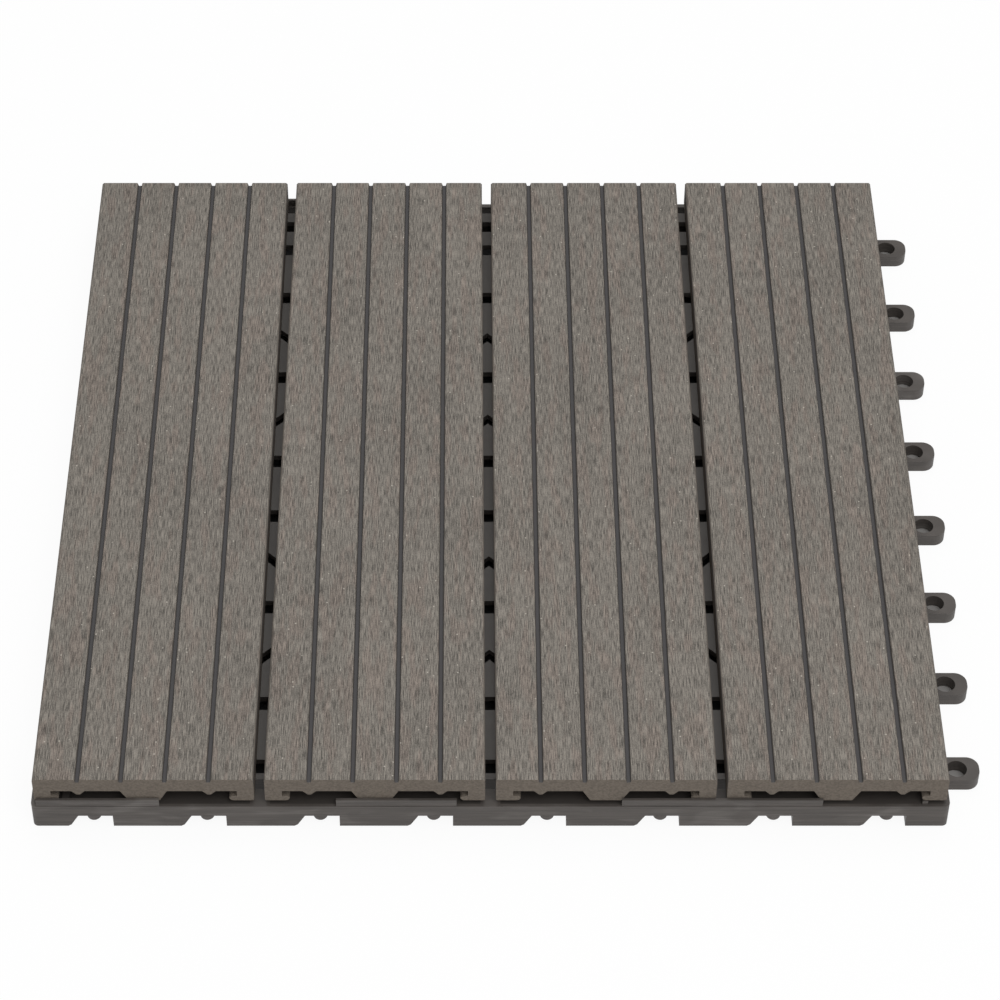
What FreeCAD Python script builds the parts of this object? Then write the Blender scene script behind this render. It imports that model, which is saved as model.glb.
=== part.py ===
import FreeCAD, Part
import os

# Interlocking deck tile: four grooved composite slats snapped onto a moulded lattice base.
# Millimetres, +Z up. The origin is on the floor under the middle of the base.
# The front edge faces -Y. The front and left edges carry pins, the right and back edges loops.

# Overall sizes
BASE_SIZE = 300.0
TILE_HEIGHT = 22.0

# Slats
SLAT_COUNT = 4
SLAT_GAP = 3.5
PLATE_THICKNESS = 5.7
LEG_DROP = 4.7
LEG_THICKNESS = 5.6
HOOK_REACH = 2.5
HOOK_THICKNESS = 2.2
CENTRE_FOOT_TOP = 15.3
CENTRE_FOOT_BOTTOM = 10.2
GROOVE_COUNT = 4
GROOVE_PITCH = 14.2
GROOVE_TOP = 1.7
GROOVE_BOTTOM = 1.1
GROOVE_DEPTH = 1.4
BUMP_WIDTH = 4.4
BUMP_DROP = 1.7
BUMP_TIP = 1.2
RIB_EDGE_BEVEL = 0.2
SLAT_EDGE_BEVEL = 0.6
HOOK_TIP_BEVEL = 0.7

# Skirt of the base
SKIRT_WALL = 1.8
SKIRT_SETDOWN = 1.6
SKIRT_CORNER_RADIUS = 1.8
LIP_RISE = 3.0
LIP_THICKNESS = 0.95
LIP_STEP = 0.15
LIP_CLEARANCE = 0.2

# Ends of each lip, from the left side of the base (0) or from the middle of a gap between slats
LIP_SPANS = ((0, 0.0, 42.0), (1, 24.9, 64.2), (3, -32.4, 33.1))

# Joined tiles: the pitch of their links, the gap between their skirts and the play of loops and pins
LINK_PITCH = 37.1
TILE_GAP = 2.25
PIN_PLAY = 1.05
LOOP_HEADROOM = 0.4
LOOP_END_PLAY = 0.3

# Pins, their notches and the pockets behind them
PIN_RADIUS = 2.35
PIN_TIP = 2.6
PIN_INSET = 0.1
BAND_MARGIN = 0.1
NOTCH_RAMP = 2.9
NOTCH_SIDE_PLAY = 1.3
NOTCH_TOE_BEVEL = 0.7
LEDGE_DEPTH = 7.4
LEDGE_THICKNESS = 2.0
PIN_WEB = 1.5
POCKET_BACK_WALL = 2.4

# Loops
LOOP_REACH = 12.2
LOOP_WIDTH = 10.0
LOOP_THICKNESS = 4.8
LOOP_TIP_RADIUS = 4.2
RAIL_START = 7.3
RAIL_WIDTH = 5.1
RAIL_RIB = 1.8

# Lattice deck and its ribs
DECK_THICKNESS = 2.2
RIB_THICKNESS = 1.6
CROSS_RIB_CLEARANCE = 2.0
FIRST_SLOT = 12.7
SLOT_WIDTH = 5.8
SHORT_CELL = 27.2
LONG_CELL = 43.5
LAST_CELL = 13.0
SLOT_LENGTH = 16.0
BRACE_SLOT_WIDTH = 4.6
CLIP_STRIP = 13.0
FOOT_STRIP = 15.0
FOOT_SIDE = 7.0

# Snap clips
CLIP_LENGTH = 10.0
CLIP_POST = 1.5
CLIP_CLEARANCE = 0.25
CLIP_LIFT = 0.1
CLIP_NOSE = 1.9
CLIP_HEADROOM = 0.5

# How far a cutting shape runs past the faces that it opens
PAST = 1.0

# Sizes that follow from the ones above
HALF_BASE = BASE_SIZE / 2
SLAT_SETBACK = LIP_STEP + LIP_THICKNESS + LIP_CLEARANCE
SLAT_FIELD = BASE_SIZE - 2 * SLAT_SETBACK
SLAT_WIDTH = (SLAT_FIELD - (SLAT_COUNT - 1) * SLAT_GAP) / SLAT_COUNT
SLAT_PITCH = SLAT_WIDTH + SLAT_GAP
DECK_TOP = TILE_HEIGHT - PLATE_THICKNESS - LEG_DROP
DECK_BOTTOM = DECK_TOP - DECK_THICKNESS
SKIRT_TOP = DECK_TOP - SKIRT_SETDOWN
LEDGE_BOTTOM = SKIRT_TOP - LEDGE_THICKNESS
LINK_COUNT = int(BASE_SIZE // LINK_PITCH)
NOTCH_TOP = LOOP_THICKNESS + LOOP_HEADROOM
NOTCH_START = LOOP_WIDTH / 2
NOTCH_END = LOOP_WIDTH / 2 + NOTCH_SIDE_PLAY
POCKET_DEPTH = LOOP_REACH - TILE_GAP + LOOP_END_PLAY
LOOP_HOLE_RADIUS = PIN_RADIUS + PIN_PLAY
LOOP_HOLE_OUT = TILE_GAP + PIN_INSET + PIN_RADIUS
DECK_START = POCKET_DEPTH
DECK_END = BASE_SIZE - RAIL_START

# The deck's cells come in this order from the front, again and again
CELL_ORDER = (SHORT_CELL, LONG_CELL, LONG_CELL)


def box(x0, x1, y0, y1, z0, z1):
    return Part.makeBox(x1 - x0, y1 - y0, z1 - z0, FreeCAD.Vector(x0, y0, z0))


def prism(points, direction):
    """Solid with the given flat outline, extruded."""
    outline = Part.makePolygon(points + points[:1])
    return Part.Face(outline).extrude(direction)


def round_uprights(shape, radius, y=None):
    """Rounds the vertical edges of a shape, or only the ones at one Y."""
    edges = [
        edge
        for edge in shape.Edges
        if edge.BoundBox.ZLength > 0.5 * shape.BoundBox.ZLength
        and (y is None or abs(edge.BoundBox.YMin - y) < 1e-6)
    ]
    return shape.makeFillet(radius, edges)


def slat_left(index):
    return -HALF_BASE + SLAT_SETBACK + index * SLAT_PITCH


def groove_corners(centre):
    """Corners of one tapered groove with bevelled edges, from its right side to its left."""
    top = TILE_HEIGHT
    floor = top - GROOVE_DEPTH
    return [
        (centre + GROOVE_TOP / 2 + RIB_EDGE_BEVEL, top),
        (centre + GROOVE_TOP / 2, top - RIB_EDGE_BEVEL),
        (centre + GROOVE_BOTTOM / 2, floor),
        (centre - GROOVE_BOTTOM / 2, floor),
        (centre - GROOVE_TOP / 2, top - RIB_EDGE_BEVEL),
        (centre - GROOVE_TOP / 2 - RIB_EDGE_BEVEL, top),
    ]


def bump_corners(centre, ceiling):
    """Corners of one small tapered bump under the plate, from left to right."""
    return [
        (centre - BUMP_WIDTH / 2, ceiling),
        (centre - BUMP_TIP / 2, ceiling - BUMP_DROP),
        (centre + BUMP_TIP / 2, ceiling - BUMP_DROP),
        (centre + BUMP_WIDTH / 2, ceiling),
    ]


def slat_section():
    """Extruded section of a slat about its own middle, hooked legs and centre foot below."""
    half = SLAT_WIDTH / 2
    ceiling = DECK_TOP + LEG_DROP
    hook_top = DECK_TOP + HOOK_THICKNESS
    leg_inside = half - LEG_THICKNESS
    hook_tip = leg_inside - HOOK_REACH
    outer_groove = GROOVE_PITCH * (GROOVE_COUNT - 1) / 2
    corners = [
        (-half, DECK_TOP),
        (-hook_tip, DECK_TOP),
        (-hook_tip, hook_top - HOOK_TIP_BEVEL),
        (-hook_tip - HOOK_TIP_BEVEL, hook_top),
        (-leg_inside, hook_top),
        (-leg_inside, ceiling),
    ]
    corners += bump_corners(-outer_groove, ceiling)
    corners += [
        (-CENTRE_FOOT_TOP / 2, ceiling),
        (-CENTRE_FOOT_BOTTOM / 2, DECK_TOP),
        (CENTRE_FOOT_BOTTOM / 2, DECK_TOP),
        (CENTRE_FOOT_TOP / 2, ceiling),
    ]
    corners += bump_corners(outer_groove, ceiling)
    corners += [
        (leg_inside, ceiling),
        (leg_inside, hook_top),
        (hook_tip + HOOK_TIP_BEVEL, hook_top),
        (hook_tip, hook_top - HOOK_TIP_BEVEL),
        (hook_tip, DECK_TOP),
        (half, DECK_TOP),
        (half, TILE_HEIGHT - SLAT_EDGE_BEVEL),
        (half - SLAT_EDGE_BEVEL, TILE_HEIGHT),
    ]
    for index in reversed(range(GROOVE_COUNT)):
        centre = (index - (GROOVE_COUNT - 1) / 2) * GROOVE_PITCH
        corners += groove_corners(centre)
    corners += [
        (-half + SLAT_EDGE_BEVEL, TILE_HEIGHT),
        (-half, TILE_HEIGHT - SLAT_EDGE_BEVEL),
    ]
    return corners


def slat(index):
    middle = slat_left(index) + SLAT_WIDTH / 2
    start = -HALF_BASE + SLAT_SETBACK
    points = [FreeCAD.Vector(middle + x, start, z) for x, z in slat_section()]
    return prism(points, FreeCAD.Vector(0, SLAT_FIELD, 0))


def link_places():
    """Places of the pins or loops along an edge, from its middle."""
    return [(index - (LINK_COUNT - 1) / 2) * LINK_PITCH for index in range(LINK_COUNT)]


def on_edge(shape, turns):
    """Turns a shape of the front edge anticlockwise, seen from above, onto another edge."""
    turned = shape.copy()
    turned.rotate(FreeCAD.Vector(0, 0, 0), FreeCAD.Vector(0, 0, 1), 90 * turns)
    return turned


def skirt():
    outer = box(-HALF_BASE, HALF_BASE, -HALF_BASE, HALF_BASE, 0, SKIRT_TOP)
    outer = round_uprights(outer, SKIRT_CORNER_RADIUS)
    inside = HALF_BASE - SKIRT_WALL
    return outer.cut(box(-inside, inside, -inside, inside, -PAST, SKIRT_TOP + PAST))


def edge_lips():
    """Raised lips in front of the slats' ends, which stop the slats from sliding."""
    face = -HALF_BASE + LIP_STEP
    lips = []
    for gap, start, end in LIP_SPANS:
        from_x = gap_centre(gap) if gap else -HALF_BASE
        x0 = max(from_x + start, SKIRT_CORNER_RADIUS - HALF_BASE)
        x1 = from_x + end
        lips.append(box(x0, x1, face, face + LIP_THICKNESS, LEDGE_BOTTOM, SKIRT_TOP + LIP_RISE))
    return lips


def notch(place):
    """Notch under one pin, with a ramp at its start that guides the neighbour's loop."""
    toe_left = place - NOTCH_START - NOTCH_RAMP
    slope = NOTCH_RAMP / NOTCH_TOP
    outline = [
        (toe_left - NOTCH_TOE_BEVEL, -PAST),
        (toe_left - NOTCH_TOE_BEVEL, 0),
        (toe_left + slope * NOTCH_TOE_BEVEL, NOTCH_TOE_BEVEL),
        (place - NOTCH_START, NOTCH_TOP),
        (place + NOTCH_END, NOTCH_TOP),
        (place + NOTCH_END, -PAST),
    ]
    points = [FreeCAD.Vector(x, -HALF_BASE - PAST, z) for x, z in outline]
    return prism(points, FreeCAD.Vector(0, SKIRT_WALL + PAST, 0))


def pin_web(place):
    """Web beside a notch, which ties the skirt and its ledge to the back wall."""
    front = -HALF_BASE + SKIRT_WALL / 2
    back = -HALF_BASE + POCKET_DEPTH
    side = place + NOTCH_END
    return box(side, side + PIN_WEB, front, back, 0, SKIRT_TOP)


def pin(place):
    """Hanging pin, flush with the skirt."""
    centre = FreeCAD.Vector(place, -HALF_BASE + PIN_INSET + PIN_RADIUS, PIN_TIP)
    return Part.makeCylinder(PIN_RADIUS, NOTCH_TOP - PIN_TIP, centre)


def pin_edge():
    """What a pin edge adds inside the skirt: ledge, the band that carries the pins, back wall and pins."""
    front = -HALF_BASE
    inset = HALF_BASE - SKIRT_WALL / 2
    back = front + POCKET_DEPTH
    ledge = box(-inset, inset, front + SKIRT_WALL / 2, front + LEDGE_DEPTH, LEDGE_BOTTOM, SKIRT_TOP)
    band_back = front + PIN_INSET + 2 * PIN_RADIUS + BAND_MARGIN
    band = box(-inset, inset, front + SKIRT_WALL / 2, band_back, NOTCH_TOP, SKIRT_TOP)
    back_wall = box(-inset, inset, back, back + POCKET_BACK_WALL, 0, DECK_TOP)
    solids = [ledge, band, back_wall]
    for place in link_places():
        solids += [pin_web(place), pin(place)]
    return solids


def loop(place):
    """Flat loop that stands out of the edge, rooted in the skirt."""
    face = -HALF_BASE
    half = LOOP_WIDTH / 2
    tip = face - LOOP_REACH
    tab = box(place - half, place + half, tip, face + SKIRT_WALL, 0, LOOP_THICKNESS)
    tab = round_uprights(tab, LOOP_TIP_RADIUS, tip)
    hole_centre = FreeCAD.Vector(place, face - LOOP_HOLE_OUT, -PAST)
    return tab.cut(Part.makeCylinder(LOOP_HOLE_RADIUS, LOOP_THICKNESS + 2 * PAST, hole_centre))


def loop_edge():
    """What a loop edge adds: loops and the rib under the rail."""
    front = -HALF_BASE
    inset = HALF_BASE - SKIRT_WALL / 2
    rib = box(-inset, inset, front + RAIL_START, front + RAIL_START + RAIL_RIB, 0, DECK_TOP)
    return [rib] + [loop(place) for place in link_places()]


def row_starts():
    """Near edges of the slot rows, from the front face of the base, as many as there is room for."""
    last = BASE_SIZE - RAIL_START - RAIL_WIDTH - SLOT_WIDTH
    starts = [FIRST_SLOT]
    following = FIRST_SLOT + CELL_ORDER[0]
    while following + LAST_CELL <= last:
        starts.append(following)
        following += CELL_ORDER[(len(starts) - 1) % len(CELL_ORDER)]
    return starts + [last]


def cells(short):
    """Near and far edges of the plates in the short cells, or in the long ones."""
    starts = row_starts()
    return [
        (starts[index] + SLOT_WIDTH, starts[index + 1])
        for index in range(len(starts) - 2)
        if (index % len(CELL_ORDER) == 0) == short
    ]


def gap_centre(index):
    return slat_left(index) - SLAT_GAP / 2


def gap_centres():
    return [gap_centre(index) for index in range(1, SLAT_COUNT)]


def slat_centres():
    return [slat_left(index) + SLAT_WIDTH / 2 for index in range(SLAT_COUNT)]


def deck_plate():
    start = DECK_START - HALF_BASE
    end = DECK_END - HALF_BASE
    return box(start, end, start, end, DECK_BOTTOM, DECK_TOP)


def row_slots():
    """Slots across the deck under every gap between slats."""
    cuts = []
    for centre in gap_centres():
        for start in row_starts():
            x0 = centre - SLOT_LENGTH / 2
            x1 = centre + SLOT_LENGTH / 2
            y0 = start - HALF_BASE
            y1 = y0 + SLOT_WIDTH
            cuts.append(box(x0, x1, y0, y1, DECK_BOTTOM - PAST, DECK_TOP + PAST))
    return cuts


def slanted_slot(x0, y0, x1, y1):
    """Slot whose middle line runs from one point to the other, as wide in Y everywhere."""
    half = BRACE_SLOT_WIDTH / 2
    outline = [(x0, y0 - half), (x1, y1 - half), (x1, y1 + half), (x0, y0 + half)]
    points = [FreeCAD.Vector(x, y, DECK_BOTTOM - PAST) for x, y in outline]
    return prism(points, FreeCAD.Vector(0, 0, DECK_THICKNESS + 2 * PAST))


def brace_slots():
    """Slanted slots between the rows: one in the outer gaps, a pointed pair in the middle one."""
    cuts = []
    half = SLOT_LENGTH / 2
    centres = gap_centres()
    middle = (len(centres) - 1) / 2
    for row, (near, far) in enumerate(cells(short=False)):
        y = (near + far) / 2 - HALF_BASE
        for column, centre in enumerate(centres):
            if column == middle:
                cuts.append(slanted_slot(centre - half, y - half, centre, y))
                cuts.append(slanted_slot(centre, y, centre + half, y - half))
                continue
            slope = 1 if (column < middle) == (row % 2 == 0) else -1
            rise = slope * half
            cuts.append(slanted_slot(centre - half, y - rise, centre + half, y + rise))
    return cuts


def window_spans():
    """Left and right edges of the open lattice zones, two under every slat."""
    inner = FOOT_STRIP / 2
    outer = SLAT_WIDTH / 2 - CLIP_STRIP
    spans = []
    for centre in slat_centres():
        spans.append((centre - outer, centre - inner))
        spans.append((centre + inner, centre + outer))
    return spans


def windows():
    """Open cells of the lattice beside each slat's centre foot, from rib to rib."""
    cuts = []
    for near, far in cells(short=False):
        y0 = near - SLOT_WIDTH - HALF_BASE
        y1 = far - RIB_THICKNESS - HALF_BASE
        for x0, x1 in window_spans():
            cuts.append(box(x0, x1, y0, y1, DECK_BOTTOM - PAST, DECK_TOP + PAST))
    return cuts


def long_ribs():
    """Ribs along the slats, down to the floor, beside the clip strips and the foot strips."""
    start = DECK_START - HALF_BASE
    end = DECK_END - HALF_BASE
    ribs = []
    for left, right in window_spans():
        ribs.append(box(left - RIB_THICKNESS, left, start, end, 0, DECK_TOP))
        ribs.append(box(right, right + RIB_THICKNESS, start, end, 0, DECK_TOP))
    return ribs


def cross_ribs():
    """Ribs across the open zones, one in front of every slot row. They clear the floor for drainage."""
    ribs = []
    for row in row_starts()[1:-1]:
        y = row - HALF_BASE
        for left, right in window_spans():
            x0 = left - RIB_THICKNESS / 2
            x1 = right + RIB_THICKNESS / 2
            ribs.append(box(x0, x1, y - RIB_THICKNESS, y, CROSS_RIB_CLEARANCE, DECK_TOP))
    return ribs


def middle_foot():
    """Square foot under the middle of the deck, on the origin."""
    half = FOOT_SIDE / 2
    return box(-half, half, -half, half, 0, DECK_TOP)


def clip_section(side):
    """Section of a snap clip that reaches over a slat's hook, from the slat's own side line."""
    post = LEG_THICKNESS + HOOK_REACH + CLIP_CLEARANCE
    nose = post - CLIP_NOSE
    under = DECK_TOP + HOOK_THICKNESS + CLIP_LIFT
    top = DECK_TOP + LEG_DROP - CLIP_HEADROOM
    foot = DECK_BOTTOM + DECK_THICKNESS / 2
    outline = [
        (post, foot),
        (post, under),
        (nose, under),
        (post, top),
        (post + CLIP_POST, top),
        (post + CLIP_POST, foot),
    ]
    return [(side * x, z) for x, z in outline]


def clips():
    """Hooked posts on both sides of every slat, in the first and last short rows."""
    posts = []
    stations = [(near + far) / 2 - HALF_BASE for near, far in cells(short=True)]
    for index in range(SLAT_COUNT):
        left = slat_left(index)
        for side_line, side in ((left, 1), (left + SLAT_WIDTH, -1)):
            for middle in (stations[0], stations[-1]):
                start = middle - CLIP_LENGTH / 2
                points = [FreeCAD.Vector(side_line + x, start, z) for x, z in clip_section(side)]
                posts.append(prism(points, FreeCAD.Vector(0, CLIP_LENGTH, 0)))
    return posts


def base_grid():
    notches = [on_edge(notch(place), turns) for turns in (0, 3) for place in link_places()]
    frame = [skirt().cut(notches)]
    for turns in (0, 2):
        frame += [on_edge(lip, turns) for lip in edge_lips()]
    for turns in (0, 3):
        frame += [on_edge(solid, turns) for solid in pin_edge()]
    for turns in (1, 2):
        frame += [on_edge(solid, turns) for solid in loop_edge()]
    deck = deck_plate().cut(row_slots() + brace_slots() + windows())
    ribs = long_ribs() + cross_ribs() + [middle_foot()]
    return deck.fuse(ribs + clips() + frame).removeSplitter()


def write(name, shape):
    shape.exportStep("parts/" + name + ".step")


def main():
    os.makedirs("parts", exist_ok=True)
    write("base_grid", base_grid())
    for index in range(SLAT_COUNT):
        write("slat_" + str(index + 1), slat(index))


main()
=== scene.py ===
import math

import bmesh
import bpy
from bpy.props import FloatProperty, FloatVectorProperty, PointerProperty
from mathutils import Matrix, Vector


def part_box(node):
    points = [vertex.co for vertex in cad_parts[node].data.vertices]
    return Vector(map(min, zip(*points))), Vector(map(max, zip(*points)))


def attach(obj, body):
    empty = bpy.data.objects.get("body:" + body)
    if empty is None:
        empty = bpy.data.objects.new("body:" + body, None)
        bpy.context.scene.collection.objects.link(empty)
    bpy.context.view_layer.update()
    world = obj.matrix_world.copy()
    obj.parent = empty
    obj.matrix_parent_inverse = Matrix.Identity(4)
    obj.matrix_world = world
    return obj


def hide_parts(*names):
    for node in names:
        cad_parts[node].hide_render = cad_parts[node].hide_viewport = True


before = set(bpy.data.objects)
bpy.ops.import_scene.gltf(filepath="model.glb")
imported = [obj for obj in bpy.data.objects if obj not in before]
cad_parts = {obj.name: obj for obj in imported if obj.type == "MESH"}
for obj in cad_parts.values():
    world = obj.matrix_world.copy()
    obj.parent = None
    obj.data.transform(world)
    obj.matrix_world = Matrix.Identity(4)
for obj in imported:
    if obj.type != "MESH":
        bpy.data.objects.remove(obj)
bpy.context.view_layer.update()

bl_info = {
    "name": "Deck Tile Finish",
    "version": (1, 0, 0),
    "blender": (4, 5, 0),
    "location": "3D View > Sidebar > Deck Tile",
    "description": "Finishes the slats and the moulded base of an interlocking deck tile, and sets its stage",
    "category": "Object",
}

MM = 0.001
SLATS = sorted(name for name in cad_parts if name.startswith("slat_"))
BASE = "base_grid"


class SlatSettings(bpy.types.PropertyGroup):
    """Colours and grain of the composite slats"""

    face: FloatVectorProperty(
        name="Face", description="Brushed face of the composite", subtype="COLOR", size=3,
        default=(0.176, 0.159, 0.138),
    )
    end: FloatVectorProperty(
        name="End", description="Sawn ends and unbrushed undersides", subtype="COLOR", size=3,
        default=(0.150, 0.126, 0.103),
    )
    # Painted shade in part: the grooves' colour is the unbrushed extruded surface, made darker still to stand
    # for the shade in the grooves
    groove_skin_and_shade: FloatVectorProperty(
        name="Groove", description="Extruded skin left in the grooves", subtype="COLOR", size=3,
        default=(0.075, 0.072, 0.073),
    )
    fleck: FloatVectorProperty(
        name="Fleck", description="Pale wood flecks", subtype="COLOR", size=3, default=(0.50, 0.46, 0.40),
    )
    bark: FloatVectorProperty(
        name="Bark", description="A few brown bark spots", subtype="COLOR", size=3, default=(0.20, 0.10, 0.045),
    )
    streak_width: FloatProperty(
        name="Streak width", description="Width of the brushed streaks", default=0.22 * MM,
        unit="LENGTH", subtype="DISTANCE",
    )
    streak_length: FloatProperty(
        name="Streak length", description="Length of the brushed streaks", default=5.2 * MM,
        unit="LENGTH", subtype="DISTANCE",
    )
    edge_radius: FloatProperty(
        name="Edge radius", description="Rounding of the slats' worn edges", default=0.1 * MM,
        unit="LENGTH", subtype="DISTANCE",
    )
    hook_radius: FloatProperty(
        name="Hook radius", description="Rounding under the hooks' tips", default=1.4 * MM,
        unit="LENGTH", subtype="DISTANCE",
    )
    leg_radius: FloatProperty(
        name="Leg radius", description="Rounding of the legs' lower outer edges", default=0.6 * MM,
        unit="LENGTH", subtype="DISTANCE",
    )


class BaseSettings(bpy.types.PropertyGroup):
    """Colours and roundings of the moulded base"""

    plastic: FloatVectorProperty(
        name="Plastic", description="Moulded plastic of the base", subtype="COLOR", size=3,
        default=(0.078, 0.068, 0.061),
    )
    blush: FloatVectorProperty(
        name="Blush", description="Paler flow marks on the base", subtype="COLOR", size=3,
        default=(0.150, 0.137, 0.127),
    )
    edge_radius: FloatProperty(
        name="Edge radius", description="Rounding of the skirt's outer edges", default=0.3 * MM,
        unit="LENGTH", subtype="DISTANCE",
    )
    # Painted light: a paler colour for the deck between the slats, where light falls in through the gaps
    painted_gap_light: FloatVectorProperty(
        name="Dust", description="Dust on the deck between the slats", subtype="COLOR", size=3,
        default=(0.130, 0.121, 0.112),
    )
    loop_radius: FloatProperty(
        name="Loop radius", description="Rounding of the loops' edges", default=0.7 * MM,
        unit="LENGTH", subtype="DISTANCE",
    )
    pin_radius: FloatProperty(
        name="Pin tip radius", description="Rounding of the pins' tips", default=0.5 * MM,
        unit="LENGTH", subtype="DISTANCE",
    )


class StageSettings(bpy.types.PropertyGroup):
    """The floor and the lights"""

    floor_size: FloatProperty(
        name="Floor", description="Side of the floor", default=6.0, unit="LENGTH", subtype="DISTANCE",
    )
    shade: FloatVectorProperty(
        name="Shade", description="Floor in the shade under the tile", subtype="COLOR", size=3,
        default=(0.10, 0.10, 0.10),
    )
    hole_shade: FloatVectorProperty(
        name="Hole shade", description="Floor seen through the loops", subtype="COLOR", size=3,
        default=(0.30, 0.29, 0.28),
    )
    key_power: FloatProperty(name="Key light", description="Power of the key light", default=12.5, unit="POWER")
    top_power: FloatProperty(name="Top light", description="Power of the top light", default=12, unit="POWER")
    room_light: FloatProperty(name="Room light", description="Strength of the even room light", default=0.45)


class Term:
    """A value that changes over a surface. Python's operators on it add Math nodes."""

    def __init__(self, shader, socket):
        self.shader = shader
        self.socket = socket

    def math(self, operation, *others, clamp=False):
        settings = {"operation": operation, "use_clamp": clamp}
        inputs = dict(enumerate((self,) + others))
        return self.shader.value("ShaderNodeMath", settings, inputs)

    def __add__(self, other):
        return self.math("ADD", other)

    def __radd__(self, other):
        return self + other

    def __sub__(self, other):
        return self.math("SUBTRACT", other)

    def __rsub__(self, other):
        return self * -1 + other

    def __mul__(self, other):
        return self.math("MULTIPLY", other)

    def __rmul__(self, other):
        return self * other

    def __truediv__(self, other):
        return self.math("DIVIDE", other)

    def __abs__(self):
        return self.math("ABSOLUTE")

    def above(self, level):
        return self.math("GREATER_THAN", level)

    def below(self, level):
        return self.math("LESS_THAN", level)

    def fraction(self):
        return self.math("FRACT")

    def highest(self, other):
        return self.math("MAXIMUM", other)

    def ramp(self, low, high, start=0.0, end=1.0):
        """Smooth change from start to end while this value goes from low to high."""
        inputs = {"Value": self, "From Min": low, "From Max": high, "To Min": start, "To Max": end}
        return self.shader.value("ShaderNodeMapRange", {"interpolation_type": "SMOOTHSTEP"}, inputs)


class Shader:
    """A material's nodes, with a few patterns in the object's own millimetres."""

    def __init__(self, name):
        self.material = bpy.data.materials.new(name)
        self.material.use_nodes = True
        self.tree = self.material.node_tree
        self.tree.nodes.clear()

    def add(self, kind, settings=None, inputs=None):
        """Adds one node: its settings first, then the values or links of its sockets."""
        node = self.tree.nodes.new(kind)
        for name, setting in (settings or {}).items():
            setattr(node, name, setting)
        for key, entry in (inputs or {}).items():
            if isinstance(entry, Term):
                self.tree.links.new(entry.socket, node.inputs[key])
            elif isinstance(entry, bpy.types.NodeSocket):
                self.tree.links.new(entry, node.inputs[key])
            else:
                node.inputs[key].default_value = entry
        return node

    def value(self, kind, settings=None, inputs=None, output=0):
        return Term(self, self.add(kind, settings, inputs).outputs[output])

    def place(self):
        """The surface point's X, Y and Z in millimetres."""
        point = self.add("ShaderNodeTexCoord").outputs["Object"]
        split = self.add("ShaderNodeSeparateXYZ", inputs={"Vector": point})
        return [Term(self, split.outputs[axis]) / MM for axis in "XYZ"]

    def facing(self):
        """The surface normal's X, Y and Z."""
        normal = self.add("ShaderNodeNewGeometry").outputs["Normal"]
        split = self.add("ShaderNodeSeparateXYZ", inputs={"Vector": normal})
        return [Term(self, split.outputs[axis]) for axis in "XYZ"]

    def vector(self, x, y, z):
        return self.add("ShaderNodeCombineXYZ", inputs={"X": x, "Y": y, "Z": z}).outputs[0]

    def noise(self, vector, detail=2.0, roughness=0.5, distortion=0.0):
        inputs = {
            "Vector": vector, "Scale": 1.0, "Detail": detail, "Roughness": roughness, "Distortion": distortion,
        }
        return self.value("ShaderNodeTexNoise", {"noise_dimensions": "3D"}, inputs)

    def cells(self, vector):
        """Distance to the nearest of scattered points, and a random number for each point."""
        node = self.add("ShaderNodeTexVoronoi", {"feature": "F1"}, {"Vector": vector, "Scale": 1.0})
        split = self.add("ShaderNodeSeparateColor", inputs={"Color": node.outputs["Color"]})
        return Term(self, node.outputs["Distance"]), Term(self, split.outputs[0])

    def blend(self, factor, first, second):
        """Mix of two colours, each a tuple or a link."""
        inputs = {0: factor}
        for key, colour in ((6, first), (7, second)):
            inputs[key] = colour if isinstance(colour, bpy.types.NodeSocket) else (*colour, 1.0)
        return self.add("ShaderNodeMix", {"data_type": "RGBA"}, inputs).outputs[2]

    def finish(self, colour, roughness, height, bump_distance, **constants):
        """Closes the material with one surface shader, a bump and constant sockets."""
        bump = self.add("ShaderNodeBump", inputs={"Strength": 1.0, "Distance": bump_distance, "Height": height})
        inputs = {"Base Color": colour, "Roughness": roughness, "Normal": bump.outputs[0]}
        for name, constant in constants.items():
            inputs[name.replace("_", " ")] = constant
        surface = self.add("ShaderNodeBsdfPrincipled", inputs=inputs)
        self.add("ShaderNodeOutputMaterial", inputs={"Surface": surface.outputs[0]})
        return self.material


def shade_of(colour, factor):
    """A colour made paler or darker by a factor."""
    return tuple(channel * factor for channel in colour)


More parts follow.
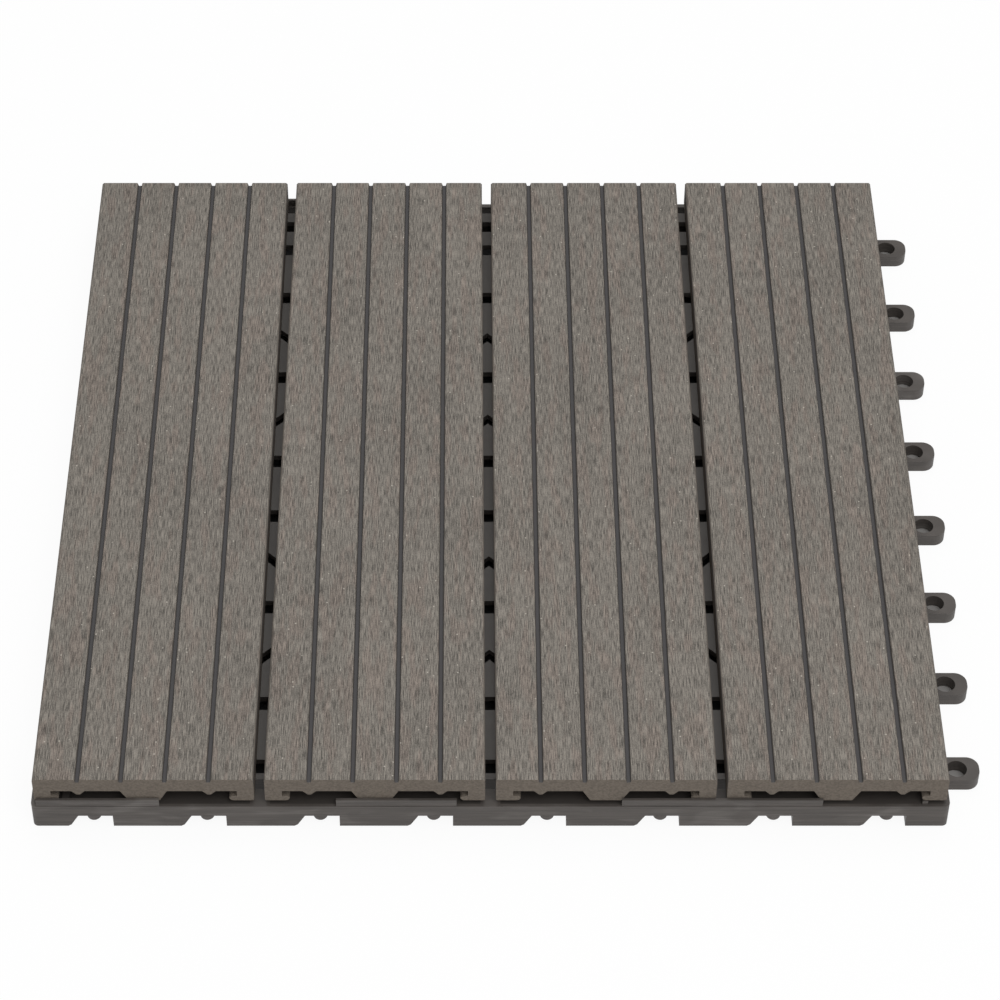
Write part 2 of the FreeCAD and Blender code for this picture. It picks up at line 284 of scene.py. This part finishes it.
def composite_material(settings):
    """Brushed wood-plastic composite: streaks along Y, flecks, plainer sawn ends, and dark grooves whose
    unbrushed colour is deepened with painted shade.
    """
    shader = Shader("brushed_composite")
    x, y, z = shader.place()
    low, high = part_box(SLATS[0])
    top = high.z / MM
    end = high.y / MM
    wide = settings.streak_width / MM
    long = settings.streak_length / MM

    fine = shader.noise(shader.vector(x / wide, y / long, z / wide), detail=2.0, roughness=0.6)
    grit = shader.noise(shader.vector(x / 0.30, y / 0.46, z / 0.30), detail=1.0)
    strand = shader.noise(shader.vector(x / 1.5, y / 24, z / 1.5), detail=2.0)
    cloud = shader.noise(shader.vector(x / 26, y / 60, z / 26), detail=2.0)
    tone = fine * 0.66 + grit * 0.20 + strand * 0.08 + cloud * 0.06
    face = tuple(settings.face)
    brushed = shader.blend(tone.ramp(0.37, 0.63), shade_of(face, 0.42), shade_of(face, 1.58))

    hue = shader.noise(shader.vector(x / 3, y / 16, z / 3), detail=2.0)
    red, green, blue = face
    rosy = (red * 1.04, green * 0.98, blue * 0.97)
    rosy = shader.blend(tone.ramp(0.37, 0.63), shade_of(rosy, 0.42), shade_of(rosy, 1.58))
    brushed = shader.blend(hue.ramp(0.48, 0.62), brushed, rosy)

    distance, pick = shader.cells(shader.vector(x / 2.6, y / 3.0, z / 2.6))
    fleck = distance.ramp(0.06, 0.13, 1.0, 0.0) * pick.above(0.72)
    brushed = shader.blend(fleck * 0.8, brushed, tuple(settings.fleck))
    distance, pick = shader.cells(shader.vector(x / 24, y / 31, z / 24))
    spot = distance.ramp(0.015, 0.045, 1.0, 0.0) * pick.above(0.90) * grit.ramp(0.35, 0.6)

    sawn_tone = shader.noise(shader.vector(x / 0.7, y / 0.7, z / 0.5), detail=3.0)
    sawn = shader.blend(
        sawn_tone.ramp(0.3, 0.7), shade_of(settings.end, 0.80), shade_of(settings.end, 1.16)
    )

    on_top = z.ramp(top - 0.5, top - 0.22)
    # Painted shade with the unbrushed colour: from 0.3 mm below the top down to 3 mm, the grooves and the
    # slats' side walls take the grooves' dark colour
    in_groove = z.ramp(top - 1.2, top - 0.3, 1.0, 0.0) * z.above(top - 3)
    at_end = abs(y).above(end - 0.14)
    skin_with_shade = shader.blend(in_groove, tuple(settings.end), tuple(settings.groove_skin_and_shade))
    colour = shader.blend(on_top, skin_with_shade, brushed)
    colour = shader.blend(at_end, colour, sawn)
    colour = shader.blend(spot, colour, tuple(settings.bark))

    roughness = fine.ramp(0.2, 0.8, 0.74, 0.92)
    height = (fine * 0.6 + strand * 0.4) * on_top * (1 - at_end) + grit * 0.25
    return shader.finish(colour, roughness, height, 0.12 * MM, Specular_IOR_Level=0.35)


# Heights of the skirt's top and of the deck in millimetres, and how far a gap's light reaches under a slat
SKIRT_TOP = 10.0
DECK_TOP = 11.6
GAP_LIGHT = 1.5


def between_slats(x):
    """1 in and beside the gaps between the slats."""
    share = x * 0
    for left, right in zip(SLATS, SLATS[1:]):
        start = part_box(left)[1].x / MM - GAP_LIGHT
        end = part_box(right)[0].x / MM + GAP_LIGHT
        share = share + x.above(start) * x.below(end)
    return share


def moulded_material(settings):
    """Dark moulded plastic with faint flow lines along the skirt and paler blush patches, painted shade under
    the slats and painted light on the deck in the gaps.
    """
    shader = Shader("moulded_plastic")
    x, y, z = shader.place()
    flow = shader.noise(shader.vector(x / 20, y / 20, z / 0.6), detail=3.0, roughness=0.6)
    patch = shader.noise(shader.vector(x / 24, y / 24, z / 8), detail=2.0, distortion=0.9)
    speck = shader.noise(shader.vector(x / 0.6, y / 0.6, z / 0.6), detail=2.0)
    colour = shader.blend(
        flow.ramp(0.3, 0.7), shade_of(settings.plastic, 0.80), shade_of(settings.plastic, 1.14)
    )
    blush = patch.ramp(0.50, 0.72) * flow.ramp(0.3, 0.65, 0.35, 1.0)
    colour = shader.blend(blush * 0.8, colour, tuple(settings.blush))
    in_gap = between_slats(x)
    inside = abs(x).highest(abs(y)).below(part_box(SLATS[0])[1].y / MM + 0.1)
    # Painted shade: the plastic under the slats, away from the gaps, is darkened to 0.6 of its colour
    painted_shade_share = inside * z.above(SKIRT_TOP - 0.1) * (1 - in_gap)
    colour = shader.blend(painted_shade_share, colour, shade_of(settings.plastic, 0.6))
    # Painted light: the deck's top in the gaps between the slats is made paler in patches, where light falls in
    painted_light_share = inside * in_gap * z.above(DECK_TOP - 0.1) * z.below(DECK_TOP + 0.1)
    colour = shader.blend(painted_light_share * patch.ramp(0.2, 0.7, 0.6, 1.0), colour, tuple(settings.painted_gap_light))
    roughness = speck * 0.16 + patch * 0.14 + 0.36
    height = flow * 0.5 + speck * 0.5
    return shader.finish(colour, roughness, height, 0.05 * MM, Specular_IOR_Level=0.45)


SHARP = math.radians(20)


def copy_of(node):
    """A new piece with the node's shape, its loose triangles merged into plain faces."""
    piece = bpy.data.objects.new("finished_" + node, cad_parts[node].data.copy())
    bpy.context.scene.collection.objects.link(piece)
    bpy.ops.object.select_all(action="DESELECT")
    piece.select_set(True)
    bpy.context.view_layer.objects.active = piece
    bpy.ops.mesh.customdata_custom_splitnormals_clear()
    bpy.ops.object.mode_set(mode="EDIT")
    bpy.ops.mesh.select_all(action="SELECT")
    bpy.ops.mesh.remove_doubles(threshold=0.001 * MM)
    bpy.ops.mesh.dissolve_limited(angle_limit=math.radians(0.5))
    bpy.ops.object.mode_set(mode="OBJECT")
    return piece


def round_edges(piece, radius, segments, chosen):
    """Rounds the sharp outer edges whose two corners, in millimetres, pass the test."""
    bpy.ops.object.mode_set(mode="EDIT")
    bpy.ops.mesh.select_mode(type="EDGE")
    bpy.ops.mesh.select_all(action="DESELECT")
    shape = bmesh.from_edit_mesh(piece.data)
    for edge in shape.edges:
        if edge.is_manifold and edge.is_convex and edge.calc_face_angle() > SHARP:
            corners = [corner.co / MM for corner in edge.verts]
            edge.select_set(all(chosen(corner) for corner in corners))
    bmesh.update_edit_mesh(piece.data)
    bpy.ops.mesh.bevel(offset=radius, segments=segments, affect="EDGES", clamp_overlap=True)
    bpy.ops.object.mode_set(mode="OBJECT")


def finish_piece(piece, node, material):
    """Smooths the piece's roundings, gives it its finish and lets it stand for the node."""
    bpy.ops.object.shade_smooth_by_angle(angle=math.radians(50))
    bpy.ops.object.modifier_add(type="WEIGHTED_NORMAL")
    piece.modifiers[-1].keep_sharp = True
    bpy.ops.object.modifier_apply(modifier=piece.modifiers[-1].name)
    piece.data.materials.clear()
    piece.data.materials.append(material)
    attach(piece, "root")
    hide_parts(node)


def seen_directly(shader):
    """1 where a camera, glossy or glass ray sees the surface, and 0 where it only lights or shades."""
    path = shader.add("ShaderNodeLightPath")
    seen = Term(shader, path.outputs["Is Camera Ray"])
    seen = seen.highest(Term(shader, path.outputs["Is Glossy Ray"]))
    return seen.highest(Term(shader, path.outputs["Is Transmission Ray"]))


# The shaded floor: half the side of the square under the tile, and the holes of the loops
SHADE_HALF = 141.5
HOLE_LINE = 154.7
HOLE_PITCH = 37.1
HOLE_REACH = 3.7
HOLE_ROW_HALF = 148.4


def loop_holes(across, along):
    """1 under the holes of one row of loops."""
    aside = ((along / HOLE_PITCH).fraction() - 0.5) * HOLE_PITCH
    outward = across - HOLE_LINE
    inside = (aside * aside + outward * outward).below(HOLE_REACH ** 2)
    return inside * abs(along).below(HOLE_ROW_HALF)


def floor_material(settings):
    """Pale floor that shows white, plain and dark in the shade under the tile and its loops."""
    shader = Shader("pale_floor")
    x, y, z = shader.place()
    under = abs(x).highest(abs(y)).below(SHADE_HALF)
    holes = loop_holes(x, y).highest(loop_holes(y, x))
    colour = shader.blend(under, (0.9, 0.9, 0.9), tuple(settings.shade))
    colour = shader.blend(holes, colour, tuple(settings.hole_shade))
    surface = shader.add("ShaderNodeBsdfDiffuse", inputs={"Color": colour})
    white = shader.add("ShaderNodeEmission", inputs={"Color": (1, 1, 1, 1), "Strength": 1.0})
    share = seen_directly(shader) * 0.93 * (1 - under.highest(holes))
    mix = shader.add("ShaderNodeMixShader", inputs={0: share, 1: surface.outputs[0], 2: white.outputs[0]})
    shader.add("ShaderNodeOutputMaterial", inputs={"Surface": mix.outputs[0]})
    return shader.material


# The slats' legs: how far the hooks' tips stand in from the sides, in millimetres
HOOK_TIP = 8.1


def under_hook(node):
    """Test for the lower edges of the hooks' tips of a slat."""
    low, high = (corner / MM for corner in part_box(node))

    def test(corner):
        aside = min(abs(corner.x - low.x - HOOK_TIP), abs(corner.x - high.x + HOOK_TIP))
        return aside < 0.05 and corner.z < low.z + 0.01
    return test


def under_leg(node):
    """Test for the lower outer edges of a slat's legs."""
    low, high = (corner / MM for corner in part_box(node))

    def test(corner):
        return min(corner.x - low.x, high.x - corner.x) < 0.01 and corner.z < low.z + 0.01
    return test


class DECKTILE_OT_finish_slats(bpy.types.Operator):
    """Round the worn edges of the four composite slats and give them their brushed finish"""

    bl_idname = "decktile.finish_slats"
    bl_label = "Finish the Slats"

    def execute(self, context):
        settings = context.scene.deck_tile_slats
        material = composite_material(settings)
        for node in SLATS:
            piece = copy_of(node)
            round_edges(piece, settings.hook_radius, 4, under_hook(node))
            round_edges(piece, settings.leg_radius, 3, under_leg(node))
            round_edges(piece, settings.edge_radius, 2, lambda corner: True)
            finish_piece(piece, node, material)
        return {"FINISHED"}


# Levels of the base that its roundings start from, in millimetres
SKIRT_FACE = 150.0
LOOP_TOP = 4.8
PIN_TIP = 2.6
LIP_FOOT = 10.1


def on_pin_tip(corner):
    return abs(corner.z - PIN_TIP) < 0.01 and max(abs(corner.x), abs(corner.y)) < SKIRT_FACE - 0.01


def on_loop(corner):
    across, along = max(corner.x, corner.y), min(corner.x, corner.y)
    aside = (along / HOLE_PITCH % 1 - 0.5) * HOLE_PITCH
    at_hole = math.hypot(aside, across - HOLE_LINE) < HOLE_REACH
    at_edge = min(abs(corner.z), abs(corner.z - LOOP_TOP)) < 0.01
    return across > SKIRT_FACE - 0.01 and at_edge and not at_hole


def on_skirt(corner):
    return abs(max(abs(corner.x), abs(corner.y)) - SKIRT_FACE) < 0.01 and corner.z < LIP_FOOT


class DECKTILE_OT_finish_base(bpy.types.Operator):
    """Round the pins' tips, the loops and the skirt, and give the moulded base its plastic finish"""

    bl_idname = "decktile.finish_base"
    bl_label = "Finish the Base"

    def execute(self, context):
        settings = context.scene.deck_tile_base
        piece = copy_of(BASE)
        round_edges(piece, settings.pin_radius, 4, on_pin_tip)
        round_edges(piece, settings.loop_radius, 3, on_loop)
        round_edges(piece, settings.edge_radius, 2, on_skirt)
        finish_piece(piece, BASE, moulded_material(settings))
        return {"FINISHED"}


# The camera of the photo: its place in millimetres, its tilt and its lens on a 36 mm sensor
CAMERA_PLACE = (-8.5, -815.2, 840.0)
CAMERA_TILT = 45.9
CAMERA_LENS = 116.92
CAMERA_SHIFT = (0.0356, 0.0002)
SENSOR_WIDTH = 36.0


def add_camera():
    data = bpy.data.cameras.new("photo_camera")
    data.sensor_fit = "HORIZONTAL"
    data.sensor_width = SENSOR_WIDTH
    data.lens = CAMERA_LENS
    data.shift_x, data.shift_y = CAMERA_SHIFT
    camera = bpy.data.objects.new("photo_camera", data)
    camera.location = Vector(CAMERA_PLACE) * MM
    camera.rotation_euler = (math.radians(90 - CAMERA_TILT), 0, 0)
    bpy.context.scene.collection.objects.link(camera)
    bpy.context.scene.camera = camera


def add_softbox(name, place, aim, size, energy):
    data = bpy.data.lights.new(name, "AREA")
    data.shape = "SQUARE"
    data.size = size
    data.energy = energy
    lamp = bpy.data.objects.new(name, data)
    lamp.location = place
    lamp.rotation_euler = (Vector(aim) - Vector(place)).to_track_quat("-Z", "Y").to_euler()
    bpy.context.scene.collection.objects.link(lamp)


def add_world(strength):
    world = bpy.data.worlds.new("studio")
    world.use_nodes = True
    tree = world.node_tree
    tree.nodes.clear()
    path = tree.nodes.new("ShaderNodeLightPath")
    room = tree.nodes.new("ShaderNodeBackground")
    room.inputs["Color"].default_value = (1, 1, 1, 1)
    room.inputs["Strength"].default_value = strength
    white = tree.nodes.new("ShaderNodeBackground")
    white.inputs["Color"].default_value = (1, 1, 1, 1)
    white.inputs["Strength"].default_value = 1.0
    mix = tree.nodes.new("ShaderNodeMixShader")
    output = tree.nodes.new("ShaderNodeOutputWorld")
    tree.links.new(path.outputs["Is Camera Ray"], mix.inputs[0])
    tree.links.new(room.outputs[0], mix.inputs[1])
    tree.links.new(white.outputs[0], mix.inputs[2])
    tree.links.new(mix.outputs[0], output.inputs["Surface"])
    bpy.context.scene.world = world


class DECKTILE_OT_build_stage(bpy.types.Operator):
    """Add the pale floor, the soft studio lights and the camera of the photo"""

    bl_idname = "decktile.build_stage"
    bl_label = "Build the Stage"

    def execute(self, context):
        settings = context.scene.deck_tile_stage
        bpy.ops.object.select_all(action="DESELECT")
        bpy.ops.mesh.primitive_plane_add(size=settings.floor_size, location=(0, 0, -0.1 * MM))
        floor = context.active_object
        floor.name = "floor"
        bpy.ops.object.transform_apply(location=True, rotation=True, scale=True)
        floor.data.materials.append(floor_material(settings))
        add_softbox("key_softbox", (0.45, -0.95, 1.5), (0, 0, 0), 1.2, settings.key_power)
        add_softbox("top_softbox", (0.0, 0.5, 1.7), (0, 0, 0), 1.4, settings.top_power)
        add_world(settings.room_light)
        add_camera()
        context.scene.view_settings.view_transform = "Standard"
        return {"FINISHED"}


class DECKTILE_PT_finish(bpy.types.Panel):
    """Sidebar panel with the settings and the steps"""

    bl_idname = "DECKTILE_PT_finish"
    bl_label = "Deck Tile"
    bl_space_type = "VIEW_3D"
    bl_region_type = "UI"
    bl_category = "Deck Tile"

    def draw(self, context):
        for holder, group in SETTINGS.items():
            box = self.layout.box()
            for name in group.__annotations__:
                box.prop(getattr(context.scene, holder), name)
        for operator in OPERATORS:
            self.layout.operator(operator.bl_idname)


OPERATORS = (DECKTILE_OT_finish_slats, DECKTILE_OT_finish_base, DECKTILE_OT_build_stage)
SETTINGS = {
    "deck_tile_slats": SlatSettings,
    "deck_tile_base": BaseSettings,
    "deck_tile_stage": StageSettings,
}
CLASSES = (*SETTINGS.values(), *OPERATORS, DECKTILE_PT_finish)


def register():
    for cls in CLASSES:
        bpy.utils.register_class(cls)
    for holder, group in SETTINGS.items():
        setattr(bpy.types.Scene, holder, PointerProperty(type=group))


def unregister():
    for holder in SETTINGS:
        delattr(bpy.types.Scene, holder)
    for cls in reversed(CLASSES):
        bpy.utils.unregister_class(cls)


def main():
    register()
    bpy.ops.decktile.finish_slats()
    bpy.ops.decktile.finish_base()
    bpy.ops.decktile.build_stage()


if __name__ == "__main__":
    main()
